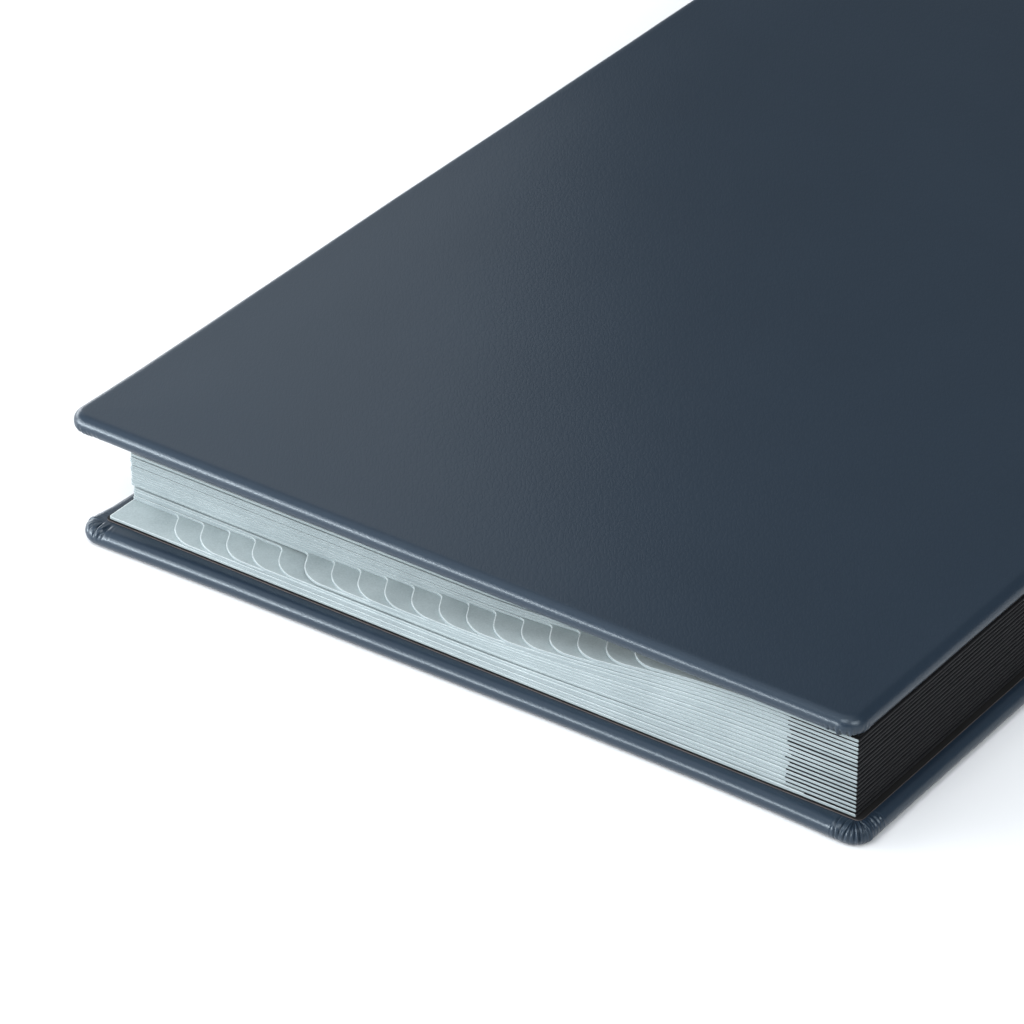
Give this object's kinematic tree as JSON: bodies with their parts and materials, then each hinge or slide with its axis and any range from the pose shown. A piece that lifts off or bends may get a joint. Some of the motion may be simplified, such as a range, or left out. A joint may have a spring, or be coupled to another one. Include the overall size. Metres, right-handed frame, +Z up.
{
  "type": "tabbed desk file with leather covers and a concertina cloth spine",
  "caption": "Closed book-like desk file: two padded leather covers, card leaves with stepped index tabs along one edge, and a folded cloth spine that fans open.",
  "frame": {"origin": "centre of the back cover's lower face, on the surface the file lies on", "axes": "+X towards the spine, +Y along the spine away from the tabbed edge, +Z up through the closed file"},
  "size_m": [0.2436, 0.35, 0.0376],
  "materials": {
    "cover_leather": "fine pebbled grain, satin",
    "cover_foam": "thin felt padding, hidden",
    "cover_board": "dense grey board, hidden",
    "infill_card": "plain card, hidden",
    "lining_paper": "matt black, brown cut edge",
    "leaf_card": "smooth pale blue-grey card, matt",
    "spine_cloth": "closely woven black book cloth"
  },
  "bodies": {
    "back_cover": {"back_cover_leather": "cover_leather", "back_cover_foam": "cover_foam", "back_cover_board": "cover_board", "back_cover_infill": "infill_card", "back_cover_lining": "lining_paper", "back_hinge_strip": "spine_cloth"},
    "front_cover": {"front_cover_leather": "cover_leather", "front_cover_foam": "cover_foam", "front_cover_board": "cover_board", "front_cover_infill": "infill_card", "front_cover_lining": "lining_paper", "front_hinge_strip": "spine_cloth"},
    "leaf_01_turning": {"leaf_01": "leaf_card", "spine_pleat_01": "spine_cloth"},
    "leaf_02_turning": {"leaf_02": "leaf_card", "spine_pleat_02": "spine_cloth"},
    "leaf_03_turning": {"leaf_03": "leaf_card", "spine_pleat_03": "spine_cloth"},
    "leaf_04_turning": {"leaf_04": "leaf_card", "spine_pleat_04": "spine_cloth"},
    "leaf_05_turning": {"leaf_05": "leaf_card", "spine_pleat_05": "spine_cloth"},
    "leaf_06_turning": {"leaf_06": "leaf_card", "spine_pleat_06": "spine_cloth"},
    "leaf_07_turning": {"leaf_07": "leaf_card", "spine_pleat_07": "spine_cloth"},
    "leaf_08_turning": {"leaf_08": "leaf_card", "spine_pleat_08": "spine_cloth"},
    "leaf_09_turning": {"leaf_09": "leaf_card", "spine_pleat_09": "spine_cloth"},
    "leaf_10_turning": {"leaf_10": "leaf_card", "spine_pleat_10": "spine_cloth"},
    "leaf_11_turning": {"leaf_11": "leaf_card", "spine_pleat_11": "spine_cloth"},
    "leaf_12_turning": {"leaf_12": "leaf_card", "spine_pleat_12": "spine_cloth"},
    "leaf_13_turning": {"leaf_13": "leaf_card", "spine_pleat_13": "spine_cloth"},
    "leaf_14_turning": {"leaf_14": "leaf_card", "spine_pleat_14": "spine_cloth"},
    "leaf_15_turning": {"leaf_15": "leaf_card", "spine_pleat_15": "spine_cloth"},
    "leaf_16_turning": {"leaf_16": "leaf_card", "spine_pleat_16": "spine_cloth"},
    "leaf_17_turning": {"leaf_17": "leaf_card", "spine_pleat_17": "spine_cloth"},
    "leaf_18_turning": {"leaf_18": "leaf_card", "spine_pleat_18": "spine_cloth"},
    "leaf_19_turning": {"leaf_19": "leaf_card", "spine_pleat_19": "spine_cloth"}
  },
  "joints": [
    {"name": "front_cover_hinge", "type": "hinge", "parent": "back_cover", "child": "front_cover", "pos_m": [0.12075, 0, 0.01726], "axis": [0, 1, 0], "range_deg": [0, 179.28]},
    {"name": "leaf_01_turn", "type": "hinge", "parent": "back_cover", "child": "leaf_01_turning", "pos_m": [0.12075, 0, 0.01726], "axis": [0, 1, 0], "range_deg": [0, 8.97]},
    {"name": "leaf_02_turn", "type": "hinge", "parent": "back_cover", "child": "leaf_02_turning", "pos_m": [0.12075, 0, 0.01726], "axis": [0, 1, 0], "range_deg": [0, 17.94]},
    {"name": "leaf_03_turn", "type": "hinge", "parent": "back_cover", "child": "leaf_03_turning", "pos_m": [0.12075, 0, 0.01726], "axis": [0, 1, 0], "range_deg": [0, 26.9]},
    {"name": "leaf_04_turn", "type": "hinge", "parent": "back_cover", "child": "leaf_04_turning", "pos_m": [0.12075, 0, 0.01726], "axis": [0, 1, 0], "range_deg": [0, 35.87]},
    {"name": "leaf_05_turn", "type": "hinge", "parent": "back_cover", "child": "leaf_05_turning", "pos_m": [0.12075, 0, 0.01726], "axis": [0, 1, 0], "range_deg": [0, 44.83]},
    {"name": "leaf_06_turn", "type": "hinge", "parent": "back_cover", "child": "leaf_06_turning", "pos_m": [0.12075, 0, 0.01726], "axis": [0, 1, 0], "range_deg": [0, 53.79]},
    {"name": "leaf_07_turn", "type": "hinge", "parent": "back_cover", "child": "leaf_07_turning", "pos_m": [0.12075, 0, 0.01726], "axis": [0, 1, 0], "range_deg": [0, 62.76]},
    {"name": "leaf_08_turn", "type": "hinge", "parent": "back_cover", "child": "leaf_08_turning", "pos_m": [0.12075, 0, 0.01726], "axis": [0, 1, 0], "range_deg": [0, 71.72]},
    {"name": "leaf_09_turn", "type": "hinge", "parent": "back_cover", "child": "leaf_09_turning", "pos_m": [0.12075, 0, 0.01726], "axis": [0, 1, 0], "range_deg": [0, 80.69]},
    {"name": "leaf_10_turn", "type": "hinge", "parent": "back_cover", "child": "leaf_10_turning", "pos_m": [0.12075, 0, 0.01726], "axis": [0, 1, 0], "range_deg": [0, 89.65]},
    {"name": "leaf_11_turn", "type": "hinge", "parent": "back_cover", "child": "leaf_11_turning", "pos_m": [0.12075, 0, 0.01726], "axis": [0, 1, 0], "range_deg": [0, 98.61]},
    {"name": "leaf_12_turn", "type": "hinge", "parent": "back_cover", "child": "leaf_12_turning", "pos_m": [0.12075, 0, 0.01726], "axis": [0, 1, 0], "range_deg": [0, 107.58]},
    {"name": "leaf_13_turn", "type": "hinge", "parent": "back_cover", "child": "leaf_13_turning", "pos_m": [0.12075, 0, 0.01726], "axis": [0, 1, 0], "range_deg": [0, 116.54]},
    {"name": "leaf_14_turn", "type": "hinge", "parent": "back_cover", "child": "leaf_14_turning", "pos_m": [0.12075, 0, 0.01726], "axis": [0, 1, 0], "range_deg": [0, 125.51]},
    {"name": "leaf_15_turn", "type": "hinge", "parent": "back_cover", "child": "leaf_15_turning", "pos_m": [0.12075, 0, 0.01726], "axis": [0, 1, 0], "range_deg": [0, 134.47]},
    {"name": "leaf_16_turn", "type": "hinge", "parent": "back_cover", "child": "leaf_16_turning", "pos_m": [0.12075, 0, 0.01726], "axis": [0, 1, 0], "range_deg": [0, 143.43]},
    {"name": "leaf_17_turn", "type": "hinge", "parent": "back_cover", "child": "leaf_17_turning", "pos_m": [0.12075, 0, 0.01726], "axis": [0, 1, 0], "range_deg": [0, 152.4]},
    {"name": "leaf_18_turn", "type": "hinge", "parent": "back_cover", "child": "leaf_18_turning", "pos_m": [0.12075, 0, 0.01726], "axis": [0, 1, 0], "range_deg": [0, 161.36]},
    {"name": "leaf_19_turn", "type": "hinge", "parent": "back_cover", "child": "leaf_19_turning", "pos_m": [0.12075, 0, 0.01726], "axis": [0, 1, 0], "range_deg": [0, 170.33]}
  ],
  "couplings": [
    {"joint": "leaf_01_turn", "follows": "front_cover_hinge", "ratio": 0.05},
    {"joint": "leaf_02_turn", "follows": "front_cover_hinge", "ratio": 0.1},
    {"joint": "leaf_03_turn", "follows": "front_cover_hinge", "ratio": 0.15},
    {"joint": "leaf_04_turn", "follows": "front_cover_hinge", "ratio": 0.2},
    {"joint": "leaf_05_turn", "follows": "front_cover_hinge", "ratio": 0.25},
    {"joint": "leaf_06_turn", "follows": "front_cover_hinge", "ratio": 0.3},
    {"joint": "leaf_07_turn", "follows": "front_cover_hinge", "ratio": 0.35},
    {"joint": "leaf_08_turn", "follows": "front_cover_hinge", "ratio": 0.4},
    {"joint": "leaf_09_turn", "follows": "front_cover_hinge", "ratio": 0.45},
    {"joint": "leaf_10_turn", "follows": "front_cover_hinge", "ratio": 0.5},
    {"joint": "leaf_11_turn", "follows": "front_cover_hinge", "ratio": 0.55},
    {"joint": "leaf_12_turn", "follows": "front_cover_hinge", "ratio": 0.6},
    {"joint": "leaf_13_turn", "follows": "front_cover_hinge", "ratio": 0.65},
    {"joint": "leaf_14_turn", "follows": "front_cover_hinge", "ratio": 0.7},
    {"joint": "leaf_15_turn", "follows": "front_cover_hinge", "ratio": 0.75},
    {"joint": "leaf_16_turn", "follows": "front_cover_hinge", "ratio": 0.8},
    {"joint": "leaf_17_turn", "follows": "front_cover_hinge", "ratio": 0.85},
    {"joint": "leaf_18_turn", "follows": "front_cover_hinge", "ratio": 0.9},
    {"joint": "leaf_19_turn", "follows": "front_cover_hinge", "ratio": 0.95}
  ]
}
